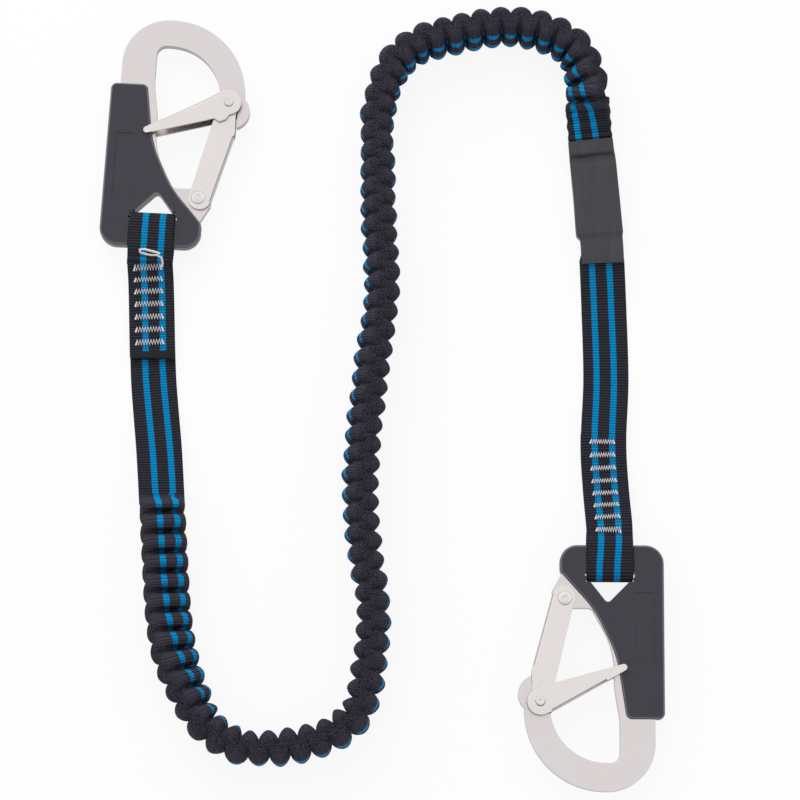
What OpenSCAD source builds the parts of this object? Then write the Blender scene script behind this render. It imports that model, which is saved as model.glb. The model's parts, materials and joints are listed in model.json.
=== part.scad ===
// Elasticated safety tether: a gathered tubular webbing strap with a flat-plate,
// double-action snap hook sewn to each end, laid out on a flat surface.
// Millimetres, +Z up, the surface at z = 0, origin midway between the two hooks.

/* [Webbing] */
// width of the tubular webbing lying flat
webbing_w = 25; // [22:0.5:26]
// thickness of the flattened tube
webbing_t = 2.6; // [2:0.1:2.8]
// length of one sewn bar across the webbing
bartack_w = 16; // [10:0.5:18]

/* [Elastic section] */
// pleats gathered along the elastic section
pleats = 68; // [56:1:76]
// thickness from crest to crest of opposite pleats
ruffle_t = 20; // [17:0.5:21]
// thickness of the straight middle between the notches
ruffle_core_t = 8.6; // [8:0.2:9.6]

/* [Hook] */
// thickness of the hook plate
plate_t = 5; // [4:0.5:5.5]
// sheet thickness of the gate and of the lever
sheet_t = 1.5; // [1.2:0.1:1.8]
// thickness of the moulded grip
grip_t = 8.6; // [8:0.2:9]
// rounding of the edges of the grip
grip_edge = 1.6; // [1:0.2:2]
// diameter of both rivet shanks
shank_d = 4; // [3.6:0.1:4.4]

/* [Hidden] */
$fn = 64;
gap = 0.3;
pin_gap = 0.06;

// Places of the two hooks: strap bar centre and turn of the plate
hook_a_at = [-126.1, 92.9, -2.9];
hook_b_at = [126, -92.7, 179.7];

// Hook layout in its own frame: bar at the origin, bow toward +Y, gate toward +X
gate_pin = [24.6, 20.3];
lever_pin = [38.3, 76.2];
gate_turn = atan2(lever_pin.y - gate_pin.y, lever_pin.x - gate_pin.x);
gate_len = norm(lever_pin - gate_pin);
lever_turn = 201.1;
swing_y = -13;

// Stacked thicknesses, from the plate outward to the lever
gate_in = plate_t + 2 * gap;
gate_out = gate_in + 2 * sheet_t;
lever_in = max(gate_out, grip_t) + 2 * gap;
lever_out = lever_in + 2 * sheet_t;
bend_r = sheet_t + 0.4;
head_h = 1.2;
gate_head_d = 7.9;
lever_head_d = 5.8;
hook_z = lever_out / 2 + gap + head_h;

// Strap bar and the webbing eye around it
bar_t = 6.4;
bar_low = -8.9;
bar_high = 8.1;
recess_top = bar_high + webbing_t + 2 * gap;
eye_in = bar_t / 2 + gap;
eye_out = eye_in + webbing_t;
eye_centre = bar_high - bar_t / 2;
throat = 1.2;
flare = 0.8;
layer = webbing_t + gap;
swing_layer = throat + webbing_t / 2;

// Sleeve over the lap splice
sleeve_wall = 0.9;
lap_w = webbing_w - 3;
lap_side = 0.5;
tack_h = 2.8;
tack_proud = 0.4;
tack_sunk = 0.3;

// Hook plate outline, corner by corner: x, y, radius
plate_corners = [
  [-23.4, -6.2, 8], [19, -6.2, 7], [32, 16.8, 0.8], [29.8, 17.8, 0.3], [29.8, 25.5, 5.2],
  [10.3, 25.5, 3], [0.8, 43, 40], [-1.8, 55, 40], [-1.6, 68, 40], [-4.5, 86, 40], [-4.3, 108.8, 5.5],
  [33, 107.8, 30], [33, 70.6, 0], [46.8, 70.6, 0], [46.8, 123.9, 43], [-23.4, 123.9, 26]
];
plate_slot_corners = [[-20.5, 5.5, 2], [19, 5.5, 2], [1, 27.8, 3]];
nose_at = [39.8, 72];
nose_r = 10.3;
mouth_r = 5;
mouth_low = 53.5;
mouth_left = 15;
gate_travel = 28;

// Grip outline and its strap slot
grip_corners = [
  [-29.2, -8.9, 10], [27.4, -8.9, 9.5], [27.2, 5.6, 4], [9, 26, 60], [-3, 51, 60],
  [-8.1, 85.3, 3.3], [-28.6, 85.3, 3.3]
];
grip_slot_corners = [[-15.5, 6, 1.2], [15, 6, 1.2], [1.6, 23.2, 2]];
panel_corners = [[-23.6, 17, 1], [-12.4, 17, 1], [-13.6, 56, 1], [-23.6, 56, 1]];
panel_deep = 0.4;

// Gate flange in its own frame: lower pin at the origin, X toward the upper pin, web on the -Y side
gate_corners = [
  [-6.4, -7, 5.8], [42, -8.4, 8], [51, -6, 8], [gate_len + 5.2, -5.2, 5.1],
  [gate_len + 5.2, 5.3, 5.1], [-6.4, 5.3, 5.8]
];
gate_web_from = -0.5;
gate_web_to = 39.5;

// Lever flange in its own frame: pin at the origin, X toward the tip, web on the -Y side
lever_corners = [
  [-7, -7.2, 7], [4, -7.2, 8], [44, -1.5, 6], [51.5, -0.4, 1.8], [49.6, 2.7, 1.8],
  [10.4, 6.6, 1], [8.6, 9.2, 0.8], [4.8, 9.2, 1.5], [2, 7.2, 1], [-7, 7.2, 7]
];
lever_web_from = 4;
lever_web_to = 38;

// Torsion spring around the upper pin
wire_d = 1;
coil_r = shank_d / 2 + 1.1;
coil_turns = 2.5;
coil_pitch = 1.25;
spring_leg = 22;
spring_leg_bend = 4;
spring_leg_out = 0.6;
spring_stub = 4.6;
spring_stub_bend = 2.6;
spring_stub_drop = 1.2;

// Route of the webbing centre from hook a to hook b: x, y, height, twist of its face
route_points = [
  [-127, 75, 4.6, 0], [-126.3, 61, 1.9, 0], [-124.5, 15.5, 1.6, 0], [-122.5, -7.5, 3, 3],
  [-120, -30.5, 6.4, 8], [-117.5, -60, 11.4, 14], [-114.5, -103, 11.8, 18],
  [-112.5, -124.5, 12.4, 24], [-108, -146.5, 13.9, 40], [-96.5, -174.5, 13.9, 73],
  [-88, -184.5, 13.4, 82], [-70.5, -193.5, 13.6, 88], [-40, -191.5, 13, 91],
  [-16.5, -181.5, 13.1, 93], [-7, -164.5, 13.3, 96], [-2, -122.5, 12.9, 93], [-7.5, -84, 13.4, 84],
  [-9.5, -50, 13.4, 79], [-5.5, 0.5, 13.4, 78], [0.5, 42.5, 13.4, 78], [2.5, 64, 13.4, 79],
  [1, 84, 13.4, 82], [-0.5, 130.5, 12.8, 88], [0, 162, 13, 89], [6.5, 184.5, 13.2, 90],
  [13, 193.5, 13.1, 87], [30.5, 203.5, 13.2, 85], [76.5, 211.5, 13.3, 84], [108, 199.5, 14, 93],
  [117, 177, 14.4, 121], [117, 168.5, 13.4, 143], [119, 147, 7.4, 174], [122, 112.5, 5.8, 180],
  [124, 89, 6, 180], [124.5, 76, 6.2, 180], [125.5, 50, 1.9, 180], [126, 10, 1.7, 180],
  [123.9, -25.5, 4.9, 180], [124.8, -50.5, 4.6, 180], [126.1, -73.5, 10, 180]
];
elastic_first = 6;
elastic_last = 32;
lap_last = 34;
sleeve_last = 35;
smooth_steps = 8;

function on_plan(h, p) = [
  h.x + p.x * cos(h[2]) - p.y * sin(h[2]),
  h.y + p.x * sin(h[2]) + p.y * cos(h[2])
];
swing_a = on_plan(hook_a_at, [0, swing_y]);
swing_b = on_plan(hook_b_at, [0, swing_y]);
route = concat(
  [[swing_a.x, swing_a.y, hook_z - swing_layer, 0]],
  route_points,
  [[swing_b.x, swing_b.y, hook_z + swing_layer, 180]]
);

// Smooth run of the route, with the length reached at each sample
function blend(a, b, c, d, t) =
  0.5 * (2 * b + (c - a) * t + (2 * a - 5 * b + 4 * c - d) * t * t + (3 * b - a - 3 * c + d) * t * t * t);
route_end = len(route) - 1;
smooth = concat(
  [for (i = [0:route_end - 1]) for (k = [0:smooth_steps - 1])
    blend(route[max(i - 1, 0)], route[i], route[i + 1], route[min(i + 2, route_end)], k / smooth_steps)],
  [route[route_end]]
);
function place_of(p) = [p.x, p.y, p.z];
reach = [for (i = 0, s = 0; i < len(smooth);
  s = s + (i + 1 < len(smooth) ? norm(place_of(smooth[i + 1] - smooth[i])) : 0), i = i + 1) s];
tables = [for (axis = [0:3]) [for (i = [0:len(smooth) - 1]) [reach[i], smooth[i][axis]]]];
function at(s) = [for (axis = [0:3]) lookup(s, tables[axis])];
function reach_at(i) = reach[i * smooth_steps];
strap_len = reach[len(reach) - 1];
elastic_from = reach_at(elastic_first);
elastic_to = reach_at(elastic_last);
lap_to = reach_at(lap_last);
sleeve_to = reach_at(sleeve_last);
webbing_b_from = elastic_to + 10;
sleeve_from = elastic_to + 1;
sleeve_end = sleeve_to + 4;
tail_a_to = 56.5;
tail_b_from = strap_len - 58;

// Place, tangent, face normal and width direction of the strap at a length along it
function unit(v) = v / norm(v);
function frame(s) =
  let (p = at(s))
  let (t = unit(place_of(at(s + 1) - at(s - 1))))
  let (left = unit(cross([0, 0, 1], t)))
  let (n = cross(t, left) * cos(p[3]) + left * sin(p[3]))
  [place_of(p), t, n, cross(n, t)];

// Flat section with rounded edges, and one ring of it across the strap
ring_sides = 12;
function power(v, e) = sign(v) * pow(abs(v), e);
strap_roundness = 0.5;
sleeve_roundness = 0.3;
function flat(w, t, roundness = strap_roundness) = [for (k = [0:ring_sides - 1])
  let (a = 360 * (k + 0.5) / ring_sides)
  [w / 2 * power(cos(a), roundness), t / 2 * power(sin(a), roundness)]];
function ring(s, section, high = 0, lean = 0, aside = 0) =
  let (f = frame(s))
  [for (q = section) f[0] + f[3] * (q.x + aside) + f[2] * (q.y + high) + f[1] * lean * q.y];
function spaced(from, to, step) =
  let (n = max(2, ceil((to - from) / step)))
  [for (k = [0:n]) from + (to - from) * k / n];

// Closed skin over a row of rings, either capped at both ends or joined into a loop
module skin(rings, loop = false) {
  n = len(rings[0]);
  m = len(rings);
  walls = [for (i = [0:m - (loop ? 1 : 2)]) for (j = [0:n - 1])
    let (a = i * n, b = ((i + 1) % m) * n, k = (j + 1) % n)
    each [[a + j, b + j, a + k], [a + k, b + j, b + k]]];
  caps = loop ? [] : [[for (j = [0:n - 1]) j], [for (j = [n - 1:-1:0]) (m - 1) * n + j]];
  polyhedron(points = [for (r = rings) each r], faces = concat(walls, caps));
}

// Outline with each corner [x, y, radius] rounded, and the same corners moved inward
function corner_steps(c, sweep) =
  let (r = len(c) > 3 ? c[3] : c[2])
  max(2, ceil(sweep / (r > 10 ? 4 : r > 2 ? 9 : 22)));
function turned(v, a) = [v.x * cos(a) - v.y * sin(a), v.x * sin(a) + v.y * cos(a)];
function flat_of(c) = [c.x, c.y];
function rounded_corner(a, corner, c) =
  let (b = flat_of(corner), r = corner[2], u = unit(a - b), v = unit(c - b), half = acos(u * v) / 2)
  let (centre = b + unit(u + v) * r / sin(half), start = b + u * r / tan(half) - centre)
  let (sweep = 180 - 2 * half, side = cross(b - a, c - b) > 0 ? 1 : -1)
  let (n = corner_steps(corner, sweep))
  [for (k = [0:n]) centre + turned(start, side * sweep * k / n)];
function outline(corners) =
  let (n = len(corners))
  [for (i = [0:n - 1])
    let (a = flat_of(corners[(i + n - 1) % n]), c = flat_of(corners[(i + 1) % n]))
    each (corners[i][2] == 0 ? [flat_of(corners[i])] : rounded_corner(a, corners[i], c))];
function inward(a, b) = turned(unit(b - a), 90);
function inset(corners, d) =
  let (n = len(corners))
  [for (i = [0:n - 1])
    let (a = flat_of(corners[(i + n - 1) % n]), b = flat_of(corners[i]), c = flat_of(corners[(i + 1) % n]))
    let (p = inward(a, b), q = inward(b, c), moved = b + (p + q) * d / (1 + p * q))
    [moved.x, moved.y, corners[i][2] + (cross(b - a, c - b) > 0 ? -d : d), corners[i][2]]];

module sheet(corners, thick) {
  linear_extrude(thick, center = true) polygon(outline(corners));
}

// Slab with its edges rounded on both faces, trimmed flat to its thickness
edge_turns = [90, 60, 30, 0];
trim = 0.05;
module slab(corners, thick, edge) {
  half = thick / 2 + trim;
  low = [for (a = edge_turns) [-half + edge * (1 - sin(a)), edge * (1 - cos(a))]];
  levels = concat(low, [for (k = [len(low) - 1:-1:0]) [-low[k][0], low[k][1]]]);
  intersection() {
    skin([for (l = levels) [for (p = outline(inset(corners, l[1]))) [p.x, p.y, l[0]]]]);
    sheet(inset(corners, -1), thick);
  }
}

module on_hook(h) {
  translate([h.x, h.y, hook_z]) rotate(h[2]) children();
}

module on_gate() {
  translate(gate_pin) rotate(gate_turn) children();
}

module on_lever() {
  translate(lever_pin) rotate(lever_turn) children();
}

// Domed rivet with a head at each end
module rivet(length, d, head_d) {
  dome_r = (head_d * head_d / 4 + head_h * head_h) / (2 * head_h);
  cylinder(h = length, d = d, center = true);
  for (side = [0, 180]) {
    rotate([side, 0, 0]) intersection() {
      translate([0, 0, length / 2 + head_h - dome_r]) sphere(dome_r);
      translate([0, 0, length / 2]) cylinder(h = head_h, d = head_d);
    }
  }
}

// Folded channel: two flanges of one outline joined by a web along the edge on the -Y side,
// with both bends rounded on the outside, made as an upper and an under half;
// edge is the number of the corner where that edge starts
module channel(corners, inside, outside, edge, web_from, web_to) {
  edge_from = corners[edge];
  edge_to = corners[edge + 1];
  slope = (edge_to.y - edge_from.y) / (edge_to.x - edge_from.x);
  rise = sheet_t * sqrt(1 + slope * slope);
  far = 90;
  for (face = [-1, 1]) difference() {
    translate([0, 0, face * outside / 4]) sheet(corners, outside / 2);
    translate([edge_from.x, edge_from.y, face * outside / 2]) rotate(atan(slope))
      bend_cutter(bend_r, face, web_from - edge_from.x - trim, web_to - edge_from.x + trim);
    linear_extrude(inside, center = true) polygon([
      [-far, far], [-far, -far], [web_from, -far],
      [web_from, edge_from.y + slope * (web_from - edge_from.x) + rise],
      [web_to, edge_from.y + slope * (web_to - edge_from.x) + rise],
      [web_to, -far], [far, -far], [far, far]
    ]);
  }
}

// What a rounded bend takes off a square edge along X, on the upper or the under face
module bend_cutter(r, face, from, to) {
  translate([from, 0, 0]) rotate([90, 0, 90]) linear_extrude(to - from) polygon(concat(
    [[-1, face], [-1, -face * r]],
    [for (a = [180:-15:90]) [r + r * cos(a), face * (r * sin(a) - r)]],
    [[r, face]]
  ));
}

// Room in the plate for the upper pin and its spring as the gate swings in
mouth_top = gate_len + mouth_r + gap / 2;
mouth_start = gate_turn + 1.5;
mouth_end = gate_turn + gate_travel + 2;
mouth_outline = concat(
  [[mouth_left, mouth_low], [lever_pin.x + mouth_r, mouth_low]],
  [for (a = [0:15:75]) lever_pin + mouth_r * [cos(a), sin(a)]],
  [for (a = [mouth_start:3:mouth_end]) gate_pin + mouth_top * [cos(a), sin(a)]]
);

module hook_plate() {
  difference() {
    union() {
      sheet(plate_corners, plate_t);
      translate(nose_at) cylinder(h = plate_t, r = nose_r, center = true);
    }
    linear_extrude(2 * plate_t, center = true) polygon(mouth_outline);
    sheet(plate_slot_corners, 2 * plate_t);
    translate(gate_pin) cylinder(h = 2 * plate_t, d = shank_d, center = true);
  }
}

// Profile across the strap bar, rounded along its two long edges
bar_profile = concat(
  [for (a = [-90:10:90]) [bar_high - bar_t / 2 + bar_t / 2 * cos(a), bar_t / 2 * sin(a)]],
  [for (a = [90:10:270]) [bar_low + bar_t / 2 + bar_t / 2 * cos(a), bar_t / 2 * sin(a)]]
);

module along_bar(w) {
  rotate([90, 0, 90]) linear_extrude(w, center = true) children();
}

module grip() {
  recess_w = webbing_w + 1;
  difference() {
    slab(grip_corners, grip_t, grip_edge);
    difference() {
      sheet(plate_corners, plate_t);
      sheet(plate_slot_corners, 2 * plate_t);
    }
    sheet(grip_slot_corners, 2 * grip_t);
    difference() {
      translate([-recess_w / 2, 2 * bar_low, -grip_t]) cube([recess_w, recess_top - 2 * bar_low, 2 * grip_t]);
      along_bar(2 * recess_w) polygon(bar_profile);
    }
    translate([0, 0, grip_t / 2]) sheet(panel_corners, 2 * panel_deep);
  }
}

module gate() {
  on_gate() difference() {
    channel(gate_corners, gate_in, gate_out, 0, gate_web_from, gate_web_to);
    cylinder(h = 2 * gate_out, d = shank_d + 2 * pin_gap, center = true);
    translate([gate_len, 0, 0]) cylinder(h = 2 * gate_out, d = shank_d, center = true);
  }
}

module gate_rivet() {
  translate(gate_pin) rivet(gate_out + 2 * gap, shank_d, gate_head_d);
}

module lever() {
  on_lever() difference() {
    channel(lever_corners, lever_in, lever_out, 1, lever_web_from, lever_web_to);
    cylinder(h = 2 * lever_out, d = shank_d + 2 * pin_gap, center = true);
  }
}

module lever_rivet() {
  translate(lever_pin) rivet(lever_out + 2 * gap, shank_d, lever_head_d);
}

// Coil with a short stub toward the lever and a long leg down the gate
coil_end = 360 * coil_turns;
coil_path = concat(
  [[spring_stub, coil_r - spring_stub_drop, 0], [spring_stub_bend, coil_r, 0]],
  [for (a = [90:30:90 + coil_end]) [coil_r * cos(a), coil_r * sin(a), coil_pitch * (a - 90) / 360]],
  [for (x = [-spring_leg_bend, -spring_leg]) [x, -coil_r - spring_leg_out, coil_pitch * coil_turns]]
);
wire_sides = 8;
function wire_ring(i) =
  let (last = len(coil_path) - 1)
  let (t = unit(coil_path[min(i + 1, last)] - coil_path[max(i - 1, 0)]))
  let (u = unit(cross([0, 0, 1], t)), v = cross(t, u))
  [for (k = [0:wire_sides - 1])
    coil_path[i] + wire_d / 2 * (u * cos(360 * k / wire_sides) + v * sin(360 * k / wire_sides))];

module lever_spring() {
  on_gate() translate([gate_len, 0, -coil_pitch * coil_turns / 2])
    skin([for (i = [0:len(coil_path) - 1]) wire_ring(i)]);
}

// Loop of webbing round the bar, its two ends flared where the strap bends
eye_turn = bar_low - gap;
function eye_end(z) = [swing_y + gap + flare * z, z];
eye_profile = concat(
  [eye_end(throat), eye_end(throat + webbing_t), [eye_turn, eye_out]],
  [for (a = [90:-10:-90]) [eye_centre + eye_out * cos(a), eye_out * sin(a)]],
  [[eye_turn, -eye_out]],
  [for (z = [throat + webbing_t, throat]) [eye_end(z).x, -z]],
  [[eye_turn, -eye_in]],
  [for (a = [-90:10:90]) [eye_centre + eye_in * cos(a), eye_in * sin(a)]],
  [[eye_turn, eye_in]]
);

module eye() {
  along_bar(webbing_w) polygon(eye_profile);
}

// Flat layers of webbing: the run itself, and the sewn-back tail lying on it
end_back = gap + flare * swing_layer;
end_bend = 6;
flat_step = 7;
flat_section = flat(webbing_w, webbing_t);
module layer_from_a(to, high, lean) {
  skin(concat(
    [ring(end_back, flat_section, lookup(end_back, high), lean)],
    [for (s = spaced(end_bend, to, flat_step)) ring(s, flat_section, lookup(s, high))]
  ));
}

module layer_to_b(from, high, lean) {
  last = strap_len - end_back;
  skin(concat(
    [for (s = spaced(from, strap_len - end_bend, flat_step)) ring(s, flat_section, lookup(s, high))],
    [ring(last, flat_section, lookup(last, high), -lean)]
  ));
}

tail_apart = 3;
tail_flat = 12;
tail_high_a = [[0, 2 * swing_layer], [tail_apart, 2 * swing_layer], [tail_flat, layer]];
tail_high_b = [[strap_len - tail_flat, layer], [strap_len - tail_apart, 2 * swing_layer]];

module webbing_a() {
  color("#202024") layer_from_a(elastic_from - gap, [[0, 0]], -flare);
}

module tail_a() {
  color("#202024") layer_from_a(tail_a_to, tail_high_a, flare);
}

module webbing_b() {
  lap_section = flat(lap_w, webbing_t);
  last = strap_len - end_back;
  color("#202024") skin(concat(
    [for (s = spaced(webbing_b_from, sleeve_to, flat_step)) ring(s, lap_section)],
    [for (s = spaced(sleeve_to + end_bend, strap_len - end_bend, flat_step)) ring(s, flat_section)],
    [ring(last, flat_section, 0, flare)]
  ));
}

module tail_b() {
  color("#202024") layer_to_b(tail_b_from, tail_high_b, flare);
}

// Gathered tube: a row of rounded pleats on each face, the two rows half a pitch apart,
// round a straight bore
pleat_steps = 4;
tube_wall = 1.3;
edge_wall = 2;
lobe_roundness = 0.6;
bore_t = ruffle_core_t - 2 * tube_wall;
bore_w = webbing_w - 2 * edge_wall;
flat_end_t = ruffle_core_t - 0.2;
fade_rings = 2 * pleat_steps;
ring_count = pleat_steps * pleats;
lobe_h = (ruffle_t - ruffle_core_t) / 2;
function fullness(k) = min(1, k / fade_rings, (ring_count - k) / fade_rings);
function lobe(phase) = ruffle_core_t / 2 + lobe_h * pow(abs(cos(180 * phase)), lobe_roundness);
module elastic_section() {
  run = elastic_to - elastic_from;
  outer = [for (k = [0:ring_count])
    let (f = fullness(k))
    let (top = lobe(k / pleat_steps) * f + flat_end_t / 2 * (1 - f))
    let (under = lobe(k / pleat_steps + 0.5) * f + flat_end_t / 2 * (1 - f))
    ring(elastic_from + run * k / ring_count, flat(webbing_w, top + under), (top - under) / 2)];
  bore = [for (k = [pleats:-1:0]) ring(elastic_from + run * k / pleats, flat(bore_w, bore_t))];
  color("#26262C") skin(concat(outer, bore), loop = true);
}

// Elastic strip lying loose in the bore of the gathered tube
core_room = 0.7;
core_step = 11;
core_w = bore_w - 2 * edge_wall;
core_t = bore_t - 2 * core_room;
module elastic_core() {
  color("#B8B8B4") skin([for (s = spaced(elastic_from + core_room, elastic_to - core_room, core_step))
    ring(s, flat(core_w, core_t))]);
}

// End of the gathered tube, lying flat under the other strap inside the sleeve
module lap_end() {
  color("#202024") skin([for (s = spaced(elastic_to + gap, lap_to, flat_step))
    ring(s, flat(lap_w, webbing_t), layer, 0, -lap_side)]);
}

sleeve_in_w = lap_w + 2 * lap_side + 4 * gap;
sleeve_in_t = 2 * webbing_t + 4 * gap;
sleeve_bore = flat(sleeve_in_w, sleeve_in_t, sleeve_roundness);
sleeve_skin = flat(sleeve_in_w + 2 * sleeve_wall, sleeve_in_t + 2 * sleeve_wall, sleeve_roundness);
module sleeve() {
  lengths = spaced(sleeve_from, sleeve_end, flat_step);
  outer = [for (s = lengths) ring(s, sleeve_skin, layer / 2)];
  bore = [for (k = [len(lengths) - 1:-1:0]) ring(lengths[k], sleeve_bore, layer / 2)];
  color("#4A4950") skin(concat(outer, bore), loop = true);
}

// Rows of sewn bars, each sunk a little into the layer it holds down
module tack_row(lengths, w, high, rise) {
  for (s = lengths) {
    f = frame(s);
    up = f[2] * (lookup(s, high) + rise);
    multmatrix([
      [f[3].x, f[1].x, f[2].x, f[0].x + up.x],
      [f[3].y, f[1].y, f[2].y, f[0].y + up.y],
      [f[3].z, f[1].z, f[2].z, f[0].z + up.z],
      [0, 0, 0, 1]
    ]) cube([w, tack_h, tack_proud + tack_sunk], center = true);
  }
}

tack_rise = webbing_t / 2 + (tack_proud - tack_sunk) / 2;
tacks_a = 7;
tack_first_a = 7.6;
tack_step_a = 6.9;
tacks_b = 8;
tack_first_b = 5;
tack_step_b = 6.6;
tack_narrower_b = 2;
lap_tack_in = 7;
module bartacks_a() {
  lengths = [for (k = [0:tacks_a - 1]) tack_first_a + tack_step_a * k];
  color("#C8C8CC") tack_row(lengths, bartack_w, tail_high_a, tack_rise);
}

module bartacks_b() {
  lengths = [for (k = [0:tacks_b - 1]) strap_len - tack_first_b - tack_step_b * k];
  color("#C8C8CC") tack_row(lengths, bartack_w - tack_narrower_b, [[0, 0]], -tack_rise);
}

module lap_stitching() {
  lengths = [webbing_b_from + lap_tack_in, lap_to - lap_tack_in];
  color("#C8C8CC") tack_row(lengths, bartack_w, [[0, 0]], layer / 2);
}

// Places of the pieces
module hook_plate_a() {
  color("#D9D6D6") on_hook(hook_a_at) hook_plate();
}

module grip_a() {
  color("#45464F") on_hook(hook_a_at) grip();
}

module gate_a() {
  color("#DFDADB") on_hook(hook_a_at) gate();
}

module gate_rivet_a() {
  color("#C9C5C5") on_hook(hook_a_at) gate_rivet();
}

module lever_a() {
  color("#E4E0E0") on_hook(hook_a_at) lever();
}

module lever_rivet_a() {
  color("#C9C5C5") on_hook(hook_a_at) lever_rivet();
}

module lever_spring_a() {
  color("#8E8E92") on_hook(hook_a_at) lever_spring();
}

module eye_a() {
  color("#202024") on_hook(hook_a_at) eye();
}

module hook_plate_b() {
  color("#D9D6D6") on_hook(hook_b_at) hook_plate();
}

module grip_b() {
  color("#45464F") on_hook(hook_b_at) grip();
}

module gate_b() {
  color("#DFDADB") on_hook(hook_b_at) gate();
}

module gate_rivet_b() {
  color("#C9C5C5") on_hook(hook_b_at) gate_rivet();
}

module lever_b() {
  color("#E4E0E0") on_hook(hook_b_at) lever();
}

module lever_rivet_b() {
  color("#C9C5C5") on_hook(hook_b_at) lever_rivet();
}

module lever_spring_b() {
  color("#8E8E92") on_hook(hook_b_at) lever_spring();
}

module eye_b() {
  color("#202024") on_hook(hook_b_at) eye();
}

hook_plate_a();
grip_a();
gate_a();
gate_rivet_a();
lever_a();
lever_rivet_a();
lever_spring_a();
eye_a();
hook_plate_b();
grip_b();
gate_b();
gate_rivet_b();
lever_b();
lever_rivet_b();
lever_spring_b();
eye_b();
webbing_a();
tail_a();
bartacks_a();
elastic_section();
elastic_core();
lap_end();
lap_stitching();
sleeve();
webbing_b();
tail_b();
bartacks_b();
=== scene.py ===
import json
import math
import random

import bpy
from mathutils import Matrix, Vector
from mathutils.geometry import interpolate_bezier

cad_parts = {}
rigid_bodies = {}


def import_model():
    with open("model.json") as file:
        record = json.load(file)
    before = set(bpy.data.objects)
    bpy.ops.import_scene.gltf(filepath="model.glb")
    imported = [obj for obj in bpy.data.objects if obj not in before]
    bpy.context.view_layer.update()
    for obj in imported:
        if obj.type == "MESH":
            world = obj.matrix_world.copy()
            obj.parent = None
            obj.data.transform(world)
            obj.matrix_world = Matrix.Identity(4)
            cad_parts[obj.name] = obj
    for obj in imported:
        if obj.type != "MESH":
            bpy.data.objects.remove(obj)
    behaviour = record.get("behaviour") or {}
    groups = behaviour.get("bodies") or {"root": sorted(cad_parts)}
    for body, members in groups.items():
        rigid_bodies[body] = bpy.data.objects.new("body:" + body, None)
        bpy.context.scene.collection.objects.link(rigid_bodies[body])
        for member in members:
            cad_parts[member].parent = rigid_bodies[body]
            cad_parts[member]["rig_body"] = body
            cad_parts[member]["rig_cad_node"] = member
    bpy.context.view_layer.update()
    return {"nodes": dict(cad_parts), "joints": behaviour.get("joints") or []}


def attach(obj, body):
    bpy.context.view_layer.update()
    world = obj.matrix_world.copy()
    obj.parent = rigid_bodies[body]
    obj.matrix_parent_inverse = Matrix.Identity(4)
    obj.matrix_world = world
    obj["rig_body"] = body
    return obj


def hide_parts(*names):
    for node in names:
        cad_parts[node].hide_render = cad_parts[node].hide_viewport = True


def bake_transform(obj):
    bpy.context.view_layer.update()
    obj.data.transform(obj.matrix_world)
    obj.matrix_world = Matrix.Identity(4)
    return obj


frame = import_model()


# Hook plates
# The body of each hook is one flat plate of stainless steel, cut with its bow, nose, gate ear
# and strap slot in one piece. Its faces are satin and its corners are tumbled smooth, and its
# upright cut walls carry painted shade.
ends = ("a", "b")
plate_edge = 0.0005
plate_colour = (0.780, 0.738, 0.732)
plate_roughness = 0.30
# Share of the steel's colour left on the upright cut walls, as painted shade.
wall_shade_share = 0.42


def take(piece):
    """Leaves one piece selected and active."""
    if bpy.context.object and bpy.context.object.mode != "OBJECT":
        bpy.ops.object.mode_set(mode="OBJECT")
    bpy.ops.object.select_all(action="DESELECT")
    piece.select_set(True)
    bpy.context.view_layer.objects.active = piece


def apply_modifiers(piece):
    """Applies every modifier of a piece, first to last."""
    take(piece)
    for modifier in list(piece.modifiers):
        bpy.ops.object.modifier_apply(modifier=modifier.name)


def round_edges(piece, width, segments, steepest):
    """Rounds the edges of a piece that are sharper than an angle."""
    bevel = piece.modifiers.new("rounded", "BEVEL")
    bevel.width = width
    bevel.segments = segments
    bevel.limit_method = "ANGLE"
    bevel.angle_limit = math.radians(steepest)
    apply_modifiers(piece)


def finished_copy(node, edge, steepest=40, segments=3):
    """A merged copy of a solid, its flats cleared of cuts and its sharp edges rounded."""
    piece = frame["nodes"][node].copy()
    piece.data = piece.data.copy()
    piece.name = node + "_finish"
    del piece["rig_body"]
    del piece["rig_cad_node"]
    piece.parent = None
    bpy.context.scene.collection.objects.link(piece)
    take(piece)
    bpy.ops.mesh.customdata_custom_splitnormals_clear()
    bpy.ops.object.mode_set(mode="EDIT")
    bpy.ops.mesh.select_all(action="SELECT")
    bpy.ops.mesh.remove_doubles(threshold=1e-6)
    bpy.ops.mesh.dissolve_limited(angle_limit=math.radians(1))
    bpy.ops.object.mode_set(mode="OBJECT")
    round_edges(piece, edge, segments, steepest)
    bpy.ops.object.shade_smooth_by_angle(angle=math.radians(steepest))
    even = piece.modifiers.new("even faces", "WEIGHTED_NORMAL")
    even.keep_sharp = True
    apply_modifiers(piece)
    return piece


def fit(piece, body, node, finish):
    """Puts a finished copy in place of its solid, on its body, in its finish."""
    piece.data.materials.clear()
    piece.data.materials.append(finish)
    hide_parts(node)
    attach(piece, body)


def shader_node(material, kind, values=None, **settings):
    """Adds one shader node, sets its plain values and links the sockets given among them."""
    made = material.node_tree.nodes.new(kind)
    for key, value in settings.items():
        setattr(made, key, value)
    for key, value in (values or {}).items():
        if isinstance(value, bpy.types.NodeSocket):
            material.node_tree.links.new(value, made.inputs[key])
        else:
            made.inputs[key].default_value = value
    return made


def new_finish(name, colour, roughness, metallic=0.0):
    """A material with its even values on the shader itself."""
    material = bpy.data.materials.new(name)
    material.use_nodes = True
    surface = material.node_tree.nodes["Principled BSDF"]
    surface.inputs["Base Color"].default_value = (*colour, 1)
    surface.inputs["Roughness"].default_value = roughness
    surface.inputs["Metallic"].default_value = metallic
    return material, surface


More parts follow.
